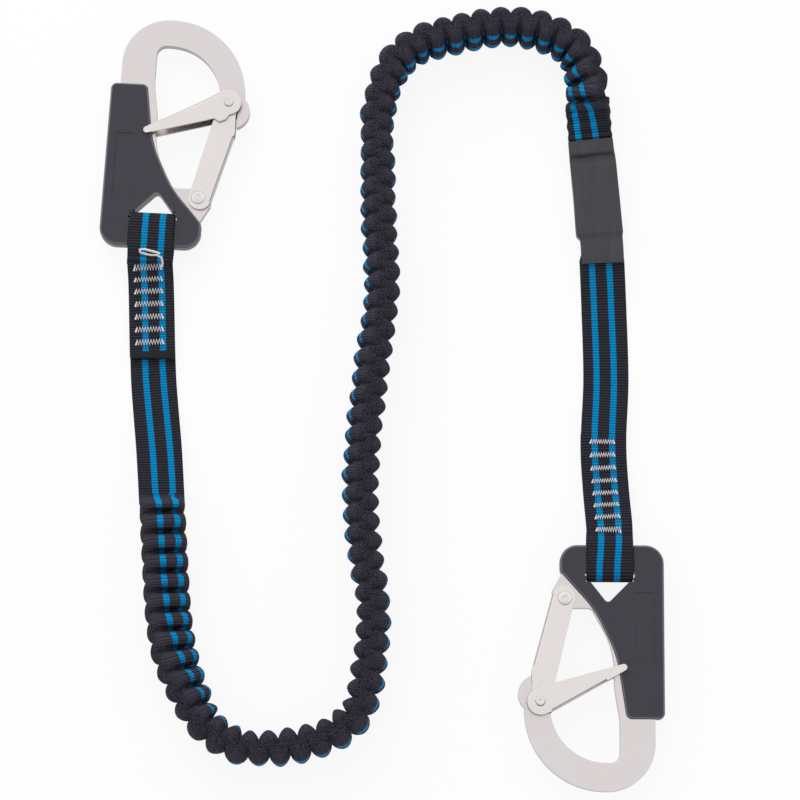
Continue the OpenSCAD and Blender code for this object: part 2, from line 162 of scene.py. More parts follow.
def object_noise(material, scale, detail, stretch=(1, 1, 1), turn=0.0):
    """Noise over a piece's own place, stretched along a direction, as a number from 0 to 1."""
    place = shader_node(material, "ShaderNodeTexCoord")
    mapping = shader_node(material, "ShaderNodeMapping", {
        "Vector": place.outputs["Object"], "Rotation": (0, 0, turn), "Scale": stretch})
    noise = shader_node(material, "ShaderNodeTexNoise", {
        "Vector": mapping.outputs["Vector"], "Scale": scale, "Detail": detail})
    return noise.outputs["Fac"]


def set_range(material, value, low, high):
    """Spreads a number from 0 to 1 over a range."""
    spread = shader_node(material, "ShaderNodeMapRange", {
        "Value": value, "To Min": low, "To Max": high})
    return spread.outputs["Result"]


def set_bump(material, surface, height, strength, depth):
    """Raises the surface by a height from 0 to 1 of a real depth in metres."""
    bump = shader_node(material, "ShaderNodeBump", {
        "Height": height, "Strength": strength, "Distance": depth})
    material.node_tree.links.new(bump.outputs["Normal"], surface.inputs["Normal"])


def set_colours(material, surface, factor, first, second):
    """Lets the base colour run between two colours."""
    mix = shader_node(material, "ShaderNodeMix", data_type="RGBA")
    material.node_tree.links.new(factor, mix.inputs["Factor"])
    for socket, colour in ((mix.inputs[6], first), (mix.inputs[7], second)):
        if isinstance(colour, bpy.types.NodeSocket):
            material.node_tree.links.new(colour, socket)
        else:
            socket.default_value = (*colour, 1)
    material.node_tree.links.new(mix.outputs[2], surface.inputs["Base Color"])
    return mix.outputs[2]


def tilt_range(material, first, last):
    """A number from 0 to 1 over a range of tilts, where 1 is a level face and 0 an upright one."""
    place = shader_node(material, "ShaderNodeTexCoord")
    facing = shader_node(material, "ShaderNodeSeparateXYZ", {"Vector": place.outputs["Normal"]})
    level = shader_node(material, "ShaderNodeMath", {0: facing.outputs["Z"]}, operation="ABSOLUTE")
    spread = shader_node(material, "ShaderNodeMapRange", {
        "Value": level.outputs[0], "From Min": first, "From Max": last})
    return spread.outputs["Result"]


def satin_steel(name, colour, roughness, spread, turn):
    """Stainless steel with a fine brushed grain along one direction, and painted shade on its upright walls."""
    material, surface = new_finish(name, colour, roughness, 1.0)
    links = material.node_tree.links
    grain = object_noise(material, 900, 3, (0.05, 1, 1), turn)
    clouds = object_noise(material, 45, 2)
    links.new(set_range(material, grain, roughness - spread, roughness + spread),
              surface.inputs["Roughness"])
    darker = tuple(0.93 * c for c in colour)
    face = set_colours(material, surface, clouds, darker, colour)
    # Painted shade on the upright cut walls: the more upright a face, the darker it is painted.
    painted_wall_shade = tuple(wall_shade_share * c for c in colour)
    set_colours(material, surface, tilt_range(material, 0.70, 0.30), face, painted_wall_shade)
    set_bump(material, surface, grain, 0.10, 0.00005)
    return material


hook_turn = {"a": math.radians(92.9), "b": math.radians(90.3)}
for end in ends:
    steel = satin_steel("plate_steel_" + end, plate_colour, plate_roughness, 0.05, hook_turn[end])
    plate = finished_copy("hook_plate_" + end, plate_edge)
    fit(plate, "hook_" + end, "hook_plate_" + end, steel)


# Grips
# Each spine is overmoulded with a slate grey plastic grip, thick at both sides of the strap and
# open in a triangle above it. The mould leaves a fine matte grain and a smooth recessed panel,
# and the rounded edges carry a painted highlight, paler than the flats.
grip_colour = (0.025, 0.0245, 0.035)
grip_shine = (0.036, 0.035, 0.048)
# Pale colour of the painted highlight on the grip's rounded edges.
grip_edge_highlight = (0.17, 0.168, 0.185)
grip_roughness = 0.32
grip_edge = 0.0010

moulding, surface = new_finish("moulded_grip", grip_colour, grip_roughness)
grain = object_noise(moulding, 2600, 2)
plain = set_colours(moulding, surface, object_noise(moulding, 70, 3), grip_colour, grip_shine)
# Painted highlight: faces tilted between level and upright, on the rounded edges, are painted paler.
painted_edge_highlight = shader_node(moulding, "ShaderNodeMath", {
    0: tilt_range(moulding, 0.985, 0.86), 1: tilt_range(moulding, 0.35, 0.75)}, operation="MULTIPLY")
set_colours(moulding, surface, painted_edge_highlight.outputs[0], plain, grip_edge_highlight)
moulding.node_tree.links.new(
    set_range(moulding, grain, grip_roughness - 0.06, grip_roughness + 0.10), surface.inputs["Roughness"])
set_bump(moulding, surface, grain, 0.25, 0.00004)
surface.inputs["Specular IOR Level"].default_value = 0.45
for end in ends:
    grip = finished_copy("grip_" + end, grip_edge, segments=3)
    fit(grip, "hook_" + end, "grip_" + end, moulding)


# Gates
# Each gate is stainless sheet folded into a channel over the plate, pivoted on the ear below
# and carrying the lever at its upper end. The cut edges are only broken, not polished.
sheet_colour = (0.85, 0.80, 0.785)
sheet_roughness = 0.27
sheet_edge = 0.00025
gate_turn = {"a": math.radians(-73.3), "b": math.radians(-75.9)}
for end in ends:
    folded = satin_steel("gate_steel_" + end, sheet_colour, sheet_roughness, 0.05, gate_turn[end])
    gate = finished_copy("gate_" + end, sheet_edge, segments=2)
    fit(gate, "swing_gate_" + end, "gate_" + end, folded)


# Rivets
# A stainless rivet holds each gate to its ear and another holds each lever to its gate. Both
# ends are set into low polished domes, and the setting punch leaves a small cup in each.
rivet_colour = (0.78, 0.745, 0.735)
rivet_roughness = 0.13
rivet_edge = 0.0002
punch_r = 0.0017
punch_deep = 0.0010

polished, surface = new_finish("rivet_steel", rivet_colour, rivet_roughness, 1.0)
scuffs = object_noise(polished, 1400, 3)
polished.node_tree.links.new(
    set_range(polished, scuffs, rivet_roughness - 0.05, rivet_roughness + 0.08), surface.inputs["Roughness"])
set_bump(polished, surface, scuffs, 0.12, 0.00003)
for end in ends:
    for node, body in (("gate_rivet_", "hook_"), ("lever_rivet_", "swing_gate_")):
        rivet = finished_copy(node + end, rivet_edge, steepest=50, segments=2)
        places = [vertex.co.copy() for vertex in rivet.data.vertices]
        axis = [(min(p[i] for p in places) + max(p[i] for p in places)) / 2 for i in range(3)]
        for vertex in rivet.data.vertices:
            off = math.hypot(vertex.co.x - axis[0], vertex.co.y - axis[1])
            cup = punch_deep * (0.5 + 0.5 * math.cos(math.pi * min(1, off / punch_r)))
            vertex.co.z -= math.copysign(cup, vertex.co.z - axis[2])
        bpy.ops.mesh.customdata_custom_splitnormals_clear()
        bpy.ops.object.shade_smooth_by_angle(angle=math.radians(50))
        fit(rivet, body + end, node + end, polished)


# Lever springs
# A torsion coil of drawn spring wire sits on the upper rivet between the flanges of the gate,
# with one leg along the gate and a short stub toward the lever.
spring_colour = (0.42, 0.42, 0.44)
spring_roughness = 0.24

drawn, surface = new_finish("spring_wire", spring_colour, spring_roughness, 1.0)
draw_marks = object_noise(drawn, 1800, 2)
set_bump(drawn, surface, draw_marks, 0.15, 0.00003)
drawn.node_tree.links.new(set_range(drawn, draw_marks, 0.18, 0.32), surface.inputs["Roughness"])
for end in ends:
    spring = finished_copy("lever_spring_" + end, rivet_edge, steepest=80, segments=1)
    bpy.ops.object.shade_smooth()
    fit(spring, "swing_gate_" + end, "lever_spring_" + end, drawn)


# Levers
# Each lever is a narrower channel of the same sheet that closes across the hook onto the spine,
# tapering to a rounded tip that lies over the grip.
lever_turn = {"a": math.radians(-18.2), "b": math.radians(-20.8)}
for end in ends:
    folded = satin_steel("lever_steel_" + end, sheet_colour, sheet_roughness, 0.05, lever_turn[end])
    lever = finished_copy("lever_" + end, sheet_edge, segments=2)
    fit(lever, "lock_lever_" + end, "lever_" + end, folded)


# Strap line
# The strap is one run of black tubular webbing from hook to hook, lying in two opposite bends.
# This is the line of its middle: x, y and height in metres, and the turn of its face in degrees.
route_points = [
    (-0.127, 0.075, 0.0046, 0), (-0.1263, 0.061, 0.0019, 0), (-0.1245, 0.0155, 0.0016, 0),
    (-0.1225, -0.0075, 0.003, 3), (-0.12, -0.0305, 0.0064, 8), (-0.1175, -0.06, 0.0114, 14),
    (-0.1145, -0.103, 0.0118, 18), (-0.1125, -0.1245, 0.0124, 24), (-0.108, -0.1465, 0.0139, 40),
    (-0.0965, -0.1745, 0.0139, 73), (-0.088, -0.1845, 0.0134, 82), (-0.0705, -0.1935, 0.0136, 88),
    (-0.04, -0.1915, 0.013, 91), (-0.0165, -0.1815, 0.0131, 93), (-0.007, -0.1645, 0.0133, 96),
    (-0.002, -0.1225, 0.0129, 93), (-0.0075, -0.084, 0.0134, 84), (-0.0095, -0.05, 0.0134, 79),
    (-0.0055, 0.0005, 0.0134, 78), (0.0005, 0.0425, 0.0134, 78), (0.0025, 0.064, 0.0134, 79),
    (0.001, 0.084, 0.0134, 82), (-0.0005, 0.1305, 0.0128, 88), (0, 0.162, 0.013, 91),
    (0.0065, 0.1845, 0.0132, 94), (0.013, 0.1935, 0.0131, 97), (0.0305, 0.2035, 0.0132, 101),
    (0.0765, 0.2115, 0.0133, 102), (0.108, 0.1995, 0.014, 109), (0.117, 0.177, 0.0144, 128),
    (0.117, 0.1685, 0.0134, 146), (0.119, 0.147, 0.0074, 174), (0.122, 0.1125, 0.0058, 180),
    (0.124, 0.089, 0.006, 180), (0.1245, 0.076, 0.0062, 180), (0.1255, 0.05, 0.0019, 180),
    (0.126, 0.01, 0.0017, 180), (0.1239, -0.0255, 0.0049, 180), (0.1248, -0.0505, 0.0046, 180),
    (0.1261, -0.0735, 0.01, 180),
]
lead = 0.030
swing_layer = 0.0025
joints = {joint["name"]: joint for joint in frame["joints"]}
swing_at = {end: Vector(joints[f"hook_{end}_swing"]["pos_m"]) for end in ends}
across_hook = {end: Vector(joints[f"hook_{end}_swing"]["axis"]) for end in ends}
to_bow = {end: Vector((-across_hook[end].y, across_hook[end].x, 0)) for end in ends}
start_a = swing_at["a"] - Vector((0, 0, swing_layer))
start_b = swing_at["b"] + Vector((0, 0, swing_layer))
line_points = [(*(start_a + lead * to_bow["a"]), 0), (*start_a, 0), *route_points,
               (*start_b, 180), (*(start_b + lead * to_bow["b"]), 180)]

bpy.ops.object.select_all(action="DESELECT")
bpy.ops.curve.primitive_bezier_curve_add(location=(0, 0, 0))
strap_line = bpy.context.object
strap_line.name = "strap_line"
strap_line.data.twist_mode = "Z_UP"
strap_line.data.resolution_u = 16
knots = strap_line.data.splines[0].bezier_points
knots.add(len(line_points) - len(knots))
for i, (knot, point) in enumerate(zip(knots, line_points)):
    before = Vector(line_points[max(i - 1, 0)][:3])
    after = Vector(line_points[min(i + 1, len(line_points) - 1)][:3])
    knot.handle_left_type = knot.handle_right_type = "FREE"
    knot.co = point[:3]
    knot.handle_left = knot.co - (after - before) / 6
    knot.handle_right = knot.co + (after - before) / 6
    knot.tilt = -math.radians(point[3])

line_steps = 24
line = []
for first, second in zip(knots, list(knots)[1:]):
    stretch = interpolate_bezier(
        first.co, first.handle_right, second.handle_left, second.co, line_steps + 1)
    line.extend(stretch[:-1])
line.append(knots[-1].co.copy())
reach = [0.0]
for near, far in zip(line, line[1:]):
    reach.append(reach[-1] + (far - near).length)
knot_reach = reach[::line_steps]
strap_from = knot_reach[1]
strap_to = knot_reach[-2]


def lay_along(piece):
    """Bends a piece that was made straight along X onto the strap line."""
    follow = piece.modifiers.new("strap line", "CURVE")
    follow.object = strap_line
    follow.deform_axis = "POS_X"
    apply_modifiers(piece)


# Webbing cloth
# The webbing is woven black polyester, ribbed across its width, with two blue stripes along it.
# The ribs stand in the cloth's own length and the stripes at its own width, so both follow every fold.
webbing_w = 0.025
webbing_t = 0.0026
rib_pitch = 0.00155
rib_sharpness = 1.5
yarn_pitch = 0.0009
stripe_at = 0.0048
stripe_half = 0.00165
stripe_edge = 0.00022
cloth_dark = (0.0015, 0.0015, 0.0022)
cloth_light = (0.035, 0.0365, 0.050)
# Pale end of the gathered cloth's painted light on its ribs and pleat crests.
painted_crest_light = (0.054, 0.0505, 0.071)
stripe_dark = (0.0, 0.006, 0.022)
stripe_light = (0.0, 0.31, 0.69)


def calculated(material, operation, first, second=0.0):
    """One step of arithmetic between sockets or plain numbers."""
    made = shader_node(material, "ShaderNodeMath", {0: first, 1: second}, operation=operation)
    return made.outputs[0]


def wave(material, value, pitch, shift=0.0):
    """A wave from 0 to 1 that repeats at a pitch."""
    turns = calculated(material, "MULTIPLY_ADD", value, 2 * math.pi / pitch)
    turns.node.inputs[2].default_value = shift
    return set_range(material, calculated(material, "MULTIPLY_ADD", calculated(
        material, "SINE", turns), 0.5), 0.5, 1.5)


def mixed_value(material, share, first, second):
    """A number between two numbers, by a share from 0 to 1."""
    mix = shader_node(material, "ShaderNodeMix", {0: share, 2: first, 3: second})
    return mix.outputs[0]


def cloth_finish(name, gathered):
    """Ribbed webbing with two stripes and painted light and shade on its ribs; where it is gathered, painted
    shade in the notches, painted light on the crests, and dotted at its edges.
    """
    material, surface = new_finish(name, cloth_dark, 0.78)
    links = material.node_tree.links
    cloth = shader_node(material, "ShaderNodeUVMap", uv_map="cloth")
    parts = shader_node(material, "ShaderNodeSeparateXYZ", {"Vector": cloth.outputs["UV"]})
    along, across = parts.outputs["X"], parts.outputs["Y"]
    # The ribs are painted paler on their crests and darker in their grooves, as painted light and shade over the
    # yarn's own texture.
    rib = calculated(material, "POWER", wave(material, along, rib_pitch), rib_sharpness)
    yarn = wave(material, across, yarn_pitch)
    weave = calculated(material, "MULTIPLY", rib, set_range(material, yarn, 0.55, 1.0))
    weave = calculated(material, "MULTIPLY", weave, set_range(
        material, wave(material, along, 2 * rib_pitch, 0.8), 0.30, 1.15))
    fibres = object_noise(material, 1500, 3)
    if gathered:
        gather = shader_node(material, "ShaderNodeUVMap", uv_map="gather")
        shares = shader_node(material, "ShaderNodeSeparateXYZ", {"Vector": gather.outputs["UV"]})
        crest, edge = shares.outputs["X"], shares.outputs["Y"]
        dots = calculated(material, "MULTIPLY", rib, wave(material, across, rib_pitch))
        speckle = object_noise(material, 1500, 1)
        dots = calculated(material, "MULTIPLY", set_range(material, dots, 0.25, 1.3),
                          shader_node(material, "ShaderNodeMapRange", {
                              "Value": speckle, "From Min": 0.32, "From Max": 0.70}).outputs["Result"])
        weave = mixed_value(material, edge, weave, dots)
        # Painted shade in the pleats' notches and painted light on their crests.
        weave = calculated(material, "MULTIPLY", weave, set_range(material, crest, 0.04, 2.45))
    lit = calculated(material, "MULTIPLY", weave, set_range(material, fibres, 0.35, 1.35))
    black = set_colours(material, surface, lit, cloth_dark, painted_crest_light if gathered else cloth_light)
    # The blue stripes take the same painted light and shade of the ribs.
    bright = set_range(material, lit, 0.22, 1.0)
    if gathered:
        full = set_range(material, lit, 0.72, 1.1)
        # The stripes take the same painted shade in the notches.
        bright = calculated(material, "MULTIPLY", full, set_range(material, crest, 0.09, 1.0))
    blue = set_colours(material, surface, bright, stripe_dark, stripe_light)
    side = calculated(material, "ABSOLUTE", across)
    off = calculated(material, "ABSOLUTE", calculated(material, "SUBTRACT", side, stripe_at))
    stripe = shader_node(material, "ShaderNodeMapRange", {
        "Value": off, "From Min": stripe_half + stripe_edge, "From Max": stripe_half - stripe_edge})
    set_colours(material, surface, stripe.outputs["Result"], black, blue)
    links.new(set_range(material, fibres, 0.70, 0.90), surface.inputs["Roughness"])
    surface.inputs["Specular IOR Level"].default_value = 0.12
    set_bump(material, surface, weave, 0.8, 0.0004)
    return material


striped_cloth = cloth_finish("striped_webbing", False)


# Gathered tube
# The long middle of the strap is the webbing as a tube, gathered over a stretched elastic strip
# so that it stands up in rounded pleats, one row on each face, half a pitch apart.
pleats = 68
pleat_half_t = 0.0099
notch_half_t = 0.0045
pleat_fullness = 0.74
pleat_steps = 16
pleat_sides = 48
crest_squareness = 0.74
notch_squareness = 0.34
scallop = 0.0020
edge_dip = 0.0010
gather_shift = 0.0016
bend_shift = 0.0004
bend_pleats = (8, 16, 58, 66)
start_half_t = 0.0016
elastic_knot = 7
sleeve_knot = 33
splice_knot = 36
tube_from = knot_reach[elastic_knot] - 0.004
tube_to = knot_reach[sleeve_knot] - 0.0165
pleat_pitch = (tube_to - tube_from) / pleats

bpy.ops.object.select_all(action="DESELECT")
bpy.ops.mesh.primitive_circle_add(vertices=pleat_sides, radius=1, rotation=(0, math.pi / 2, 0))
tube = bpy.context.object
tube.name = "gathered_tube"
bpy.ops.object.transform_apply(location=True, rotation=True, scale=True)
bpy.ops.object.mode_set(mode="EDIT")
bpy.ops.mesh.select_mode(type="EDGE")
bpy.ops.mesh.select_all(action="SELECT")
for _ in range(pleat_steps):
    bpy.ops.mesh.extrude_edges_move(TRANSFORM_OT_translate={"value": (1 / pleat_steps, 0, 0)})
bpy.ops.object.mode_set(mode="OBJECT")
row = tube.modifiers.new("pleats", "ARRAY")
row.count = pleats
row.use_relative_offset = False
row.use_constant_offset = True
row.constant_offset_displace = (1, 0, 0)
row.use_merge_vertices = True
row.merge_threshold = 0.01
apply_modifiers(tube)


def soft_share(value):
    """A number held between 0 and 1, with soft ends."""
    value = min(1.0, max(0.0, value))
    return value * value * (3 - 2 * value)


def squared(value, squareness):
    """A sine or cosine bent so that a round section becomes a rounded oblong."""
    return math.copysign(abs(value) ** squareness, value)


def pleat_rise(phase):
    """How far a pleat stands up, from 0 in the notch to 1 on the crest."""
    return abs(math.sin(math.pi * phase)) ** pleat_fullness


pleat_run = [0.0]
for k in range(pleat_steps):
    rise = (pleat_half_t - notch_half_t) * (pleat_rise((k + 1) / pleat_steps) - pleat_rise(k / pleat_steps))
    pleat_run.append(pleat_run[-1] + math.hypot(pleat_pitch / pleat_steps, rise))
ribs_in_pleat = 2 * round(pleat_run[-1] / rib_pitch / 2)


def ribs_at(along):
    """The cloth's own length at a place along the pleats, a whole number of ribs for each."""
    step = along % 1 * pleat_steps
    k = min(int(step), pleat_steps - 1)
    share = (pleat_run[k] + (step - k) * (pleat_run[k + 1] - pleat_run[k])) / pleat_run[-1]
    return (math.floor(along) + share) * ribs_in_pleat * rib_pitch


uneven = random.Random(11)
fullness = [[uneven.uniform(0.88, 1.06) for _ in range(pleats + 2)] for _ in range(2)]
cloth_place = {}
gather_place = {}
for vertex in tube.data.vertices:
    along, round_side, round_rise = vertex.co
    over = round_rise >= 0
    phase = along if over else along + 0.5
    gathered = soft_share(along / (0.7 if over else 1.4)) * soft_share(2 * (pleats - along))
    lobe = fullness[over][int(phase)] * pleat_rise(phase) * gathered
    squareness = notch_squareness + (crest_squareness - notch_squareness) * min(lobe, 1.0)
    side = squared(round_side, squareness)
    rise = squared(round_rise, squareness)
    half = start_half_t + (notch_half_t - start_half_t) * soft_share(along)
    half += (pleat_half_t - notch_half_t) * lobe
    drawn_in = scallop * gathered * (1 - pleat_rise(phase)) * soft_share((abs(rise) - 0.2) / 0.6)
    drawn_in += edge_dip * gathered * (1 - lobe * soft_share(abs(rise) / 0.4))
    turned = soft_share(0.5 + 0.5 * rise / 0.6)
    length = ribs_at(along) * turned + ribs_at(along + 0.5) * (1 - turned)
    first, full, last, flat = bend_pleats
    in_bend = soft_share((along - first) / (full - first)) * soft_share((flat - along) / (flat - last))
    shift = gather_shift + (bend_shift - gather_shift) * in_bend
    height = rise * half
    beyond = math.copysign(max(0.0, notch_half_t - abs(height)), side) if abs(side) > 0.5 else 0
    cloth_place[vertex.index] = (length, side * webbing_w / 2 + beyond - shift)
    edge = soft_share((1.6 * notch_half_t - abs(height)) / 0.004) * (abs(side) > 0.5) * gathered
    # The crest share sets the painted light on the pleat crests and the painted shade in the notches.
    crest = soft_share((abs(math.sin(math.pi * phase)) - 0.35) / 0.5)
    crest = 0.8 + (crest - 0.8) * (1 - edge)
    gather_place[vertex.index] = (1 - (1 - crest) * gathered, edge)
    vertex.co = (tube_from + along * pleat_pitch, side * (webbing_w / 2 - drawn_in), height)
for name, places in (("cloth", cloth_place), ("gather", gather_place)):
    layer = tube.data.uv_layers.new(name=name)
    for loop in tube.data.loops:
        layer.data[loop.index].uv = places[loop.vertex_index]
bpy.ops.object.mode_set(mode="EDIT")
bpy.ops.mesh.select_all(action="SELECT")
bpy.ops.mesh.fill_holes(sides=0)
bpy.ops.mesh.normals_make_consistent(inside=False)
bpy.ops.object.mode_set(mode="OBJECT")
lay_along(tube)
bpy.ops.object.shade_smooth()
tube.data.materials.append(cloth_finish("gathered_webbing", True))
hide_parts("elastic_section")
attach(tube, "strap")


# Elastic core
# A flat strip of woven rubber elastic runs through the gathered tube, sewn into both its ends. It
# is off-white and finely ribbed, and the closed tube hides it.
core_pale = (0.55, 0.53, 0.48)
core_shade = (0.38, 0.36, 0.32)

elastic, surface = new_finish("core_elastic", core_pale, 0.7)
core_ribs = object_noise(elastic, 900, 2)
set_colours(elastic, surface, core_ribs, core_shade, core_pale)
set_bump(elastic, surface, core_ribs, 0.4, 0.0002)
frame["nodes"]["elastic_core"].data.materials.clear()
frame["nodes"]["elastic_core"].data.materials.append(elastic)


# Flat webbing
# At each hook the tube lies flat. It passes under the strap bar, round it and back on itself as
# a tail, so each end is one length of webbing folded once, with its cut end sealed by heat.
bar_near = -0.0041
bar_round = -0.0179
bar_layer = 0.0048
tail_layer = 0.0029
tail_down = 0.0075
tail_length = {"a": 0.0592, "b": 0.0612}
tail_slant = 0.05
sealed_length = 0.0042
sealed_dark = (0.006, 0.006, 0.008)
sealed_worn = (0.016, 0.016, 0.019)
stripe_shift = {"a": 0.0013, "b": 0.0012}
webbing_step = 0.005
webbing_edge = 0.0009
main_length = {"a": tube_from - strap_from + 0.006, "b": strap_to - knot_reach[sleeve_knot] - 0.010}
under_bar = swing_layer - bar_layer
over_bar = swing_layer + bar_layer


def eased(first, last, steps):
    """Places of a soft step from one place to another, without the first."""
    places = []
    for k in range(1, steps + 1):
        rise = 0.5 - 0.5 * math.cos(math.pi * k / steps)
        places.append((first[0] + (last[0] - first[0]) * k / steps, first[1] + (last[1] - first[1]) * rise))
    return places


def straight(first, last, step):
    """Places of a straight run from one place to another, without the first."""
    count = max(1, round(abs(last[0] - first[0]) / step))
    return [(first[0] + (last[0] - first[0]) * k / count, first[1] + (last[1] - first[1]) * k / count)
            for k in range(1, count + 1)]


def webbing_places(end):
    """One end of the webbing: length from the hook's edge and height, in, round the bar and back."""
    turn_steps = 10
    places = [(main_length[end], 0.0)]
    places += straight(places[-1], (0.003, 0.0), webbing_step)
    places += eased(places[-1], (bar_near, under_bar), 6)
    places += straight(places[-1], (bar_round, under_bar), webbing_step)
    for k in range(1, turn_steps + 1):
        turn = math.pi * k / turn_steps
        places.append((bar_round - bar_layer * math.sin(turn), swing_layer - bar_layer * math.cos(turn)))
    places += straight(places[-1], (bar_near, over_bar), webbing_step)
    places += eased(places[-1], (tail_down, tail_layer), 8)
    places += straight(places[-1], (tail_length[end] - sealed_length, tail_layer), webbing_step)
    return places + [(tail_length[end], tail_layer)]


def along_strap(end, length):
    """Turns a length from the hook's edge into a length along the strap line."""
    return strap_from + length if end == "a" else strap_to - length


def webbing_strip(end):
    """Flat webbing made from one edge across it, extruded from place to place and thickened."""
    places = webbing_places(end)
    bpy.ops.object.select_all(action="DESELECT")
    bpy.ops.mesh.primitive_plane_add(size=webbing_w)
    strip = bpy.context.object
    strip.name = "flat_webbing_" + end
    for vertex in strip.data.vertices:
        length, height = places[0] if vertex.co.x < 0 else places[1]
        vertex.co.x = along_strap(end, length)
        vertex.co.z = height
    last_x = along_strap(end, places[1][0])
    bpy.ops.object.mode_set(mode="EDIT")
    bpy.ops.mesh.select_mode(type="EDGE")
    bpy.ops.mesh.select_all(action="DESELECT")
    bpy.ops.object.mode_set(mode="OBJECT")
    for edge in strip.data.edges:
        edge.select = all(abs(strip.data.vertices[i].co.x - last_x) < 1e-6 for i in edge.vertices)
    bpy.ops.object.mode_set(mode="EDIT")
    for near, far in zip(places[1:], places[2:]):
        step_x = along_strap(end, far[0]) - along_strap(end, near[0])
        bpy.ops.mesh.extrude_edges_move(
            TRANSFORM_OT_translate={"value": (step_x, 0, far[1] - near[1])})
    bpy.ops.object.mode_set(mode="OBJECT")
    run = [0.0]
    for near, far in zip(places, places[1:]):
        run.append(run[-1] + math.dist(near, far))
    row_of = [0, 1, 0, 1] + [2 + k // 2 for k in range(2 * (len(places) - 2))]
    cloth_map = strip.data.uv_layers.new(name="cloth")
    for loop in strip.data.loops:
        place = strip.data.vertices[loop.vertex_index].co
        length = run[row_of[loop.vertex_index]]
        rolled = stripe_shift[end] * (1 - soft_share(length / main_length[end])) + stripe_shift[end] * soft_share(
            (length - main_length[end]) / 0.02)
        cloth_map.data[loop.index].uv = (length, place.y - rolled)
    for vertex in strip.data.vertices:
        if row_of[vertex.index] == len(places) - 1:
            vertex.co.x += tail_slant * vertex.co.y
    strip.data.materials.append(striped_cloth)
    strip.data.materials.append(sealed_cloth)
    strip.data.polygons[-1].material_index = 1
    wall = strip.modifiers.new("two layers", "SOLIDIFY")
    wall.thickness = webbing_t
    wall.offset = 0
    wall.use_even_offset = True
    apply_modifiers(strip)
    round_edges(strip, webbing_edge, 3, 60)
    return strip


sealed_cloth, surface = new_finish("sealed_webbing", sealed_dark, 0.6)
melted = object_noise(sealed_cloth, 1200, 2)
set_colours(sealed_cloth, surface, melted, sealed_dark, sealed_worn)
set_bump(sealed_cloth, surface, melted, 0.5, 0.0002)
surface.inputs["Specular IOR Level"].default_value = 0.25

for end in ends:
    strip = webbing_strip(end)
    if end == "b":
        under_sleeve = knot_reach[splice_knot] - 0.005
        for vertex in strip.data.vertices:
            if vertex.co.x < under_sleeve:
                vertex.co.y *= 0.88
    lay_along(strip)
    bpy.ops.object.mode_set(mode="EDIT")
    bpy.ops.mesh.select_all(action="SELECT")
    bpy.ops.mesh.normals_make_consistent(inside=False)
    bpy.ops.object.mode_set(mode="OBJECT")
    bpy.ops.object.shade_smooth_by_angle(angle=math.radians(40))
    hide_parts("webbing_" + end, "tail_" + end, "eye_" + end)
    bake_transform(strip)


# Sewn bars
# Rows of zigzag stitching in thick grey thread hold each tail down, seven bars at one hook and
# eight narrower ones at the other. Each bar goes through both layers and shows on both faces.
bar_count = {"a": 7, "b": 8}
bar_first = {"a": 0.0062, "b": 0.0042}
bar_pitch = {"a": 0.0073, "b": 0.0072}
bar_w = {"a": 0.0152, "b": 0.0132}
bar_aside = {"a": -0.0012, "b": 0.0008}
bar_tall = {"a": 0.0028, "b": 0.0021}
zigzags = 10
thread_r = 0.00066
thread_proud = {"a": (-0.2, 0.6), "b": (0.6, -0.2)}
thread_pale = (0.86, 0.85, 0.84)
thread_shade = (0.66, 0.65, 0.65)

spun, surface = new_finish("grey_thread", thread_pale, 0.6)
plies = object_noise(spun, 2200, 2)
set_colours(spun, surface, plies, thread_shade, thread_pale)
set_bump(spun, surface, plies, 0.5, 0.0001)
surface.inputs["Sheen Weight"].default_value = 0.2


def thread_through(name, runs):
    """Round thread along runs of points, each drawn from one vertex and thickened."""
    bpy.ops.object.select_all(action="DESELECT")
    bpy.ops.mesh.primitive_plane_add(size=0.001)
    thread = bpy.context.object
    thread.name = name
    bpy.ops.object.mode_set(mode="EDIT")
    bpy.ops.mesh.select_mode(type="VERT")
    bpy.ops.mesh.select_all(action="SELECT")
    bpy.ops.mesh.merge(type="CENTER")
    bpy.ops.transform.translate(value=runs[0][0])
    for k, run in enumerate(runs):
        if k:
            bpy.ops.mesh.duplicate_move(
                TRANSFORM_OT_translate={"value": Vector(run[0]) - Vector(runs[k - 1][-1])})
        for near, far in zip(run, run[1:]):
            bpy.ops.mesh.extrude_vertices_move(
                TRANSFORM_OT_translate={"value": Vector(far) - Vector(near)})
    bpy.ops.object.mode_set(mode="OBJECT")
    bpy.ops.object.convert(target="CURVE")
    thread.data.bevel_depth = thread_r
    thread.data.bevel_resolution = 1
    thread.data.use_fill_caps = True
    bpy.ops.object.convert(target="MESH")
    return bpy.context.object


def tail_height(length):
    """Height of the tail's upper face where it comes down from the bar."""
    share = min(1.0, max(0.0, (length - bar_near) / (tail_down - bar_near)))
    rise = 0.5 - 0.5 * math.cos(math.pi * share)
    return over_bar + (tail_layer - over_bar) * rise + webbing_t / 2 + 0.8 * thread_r


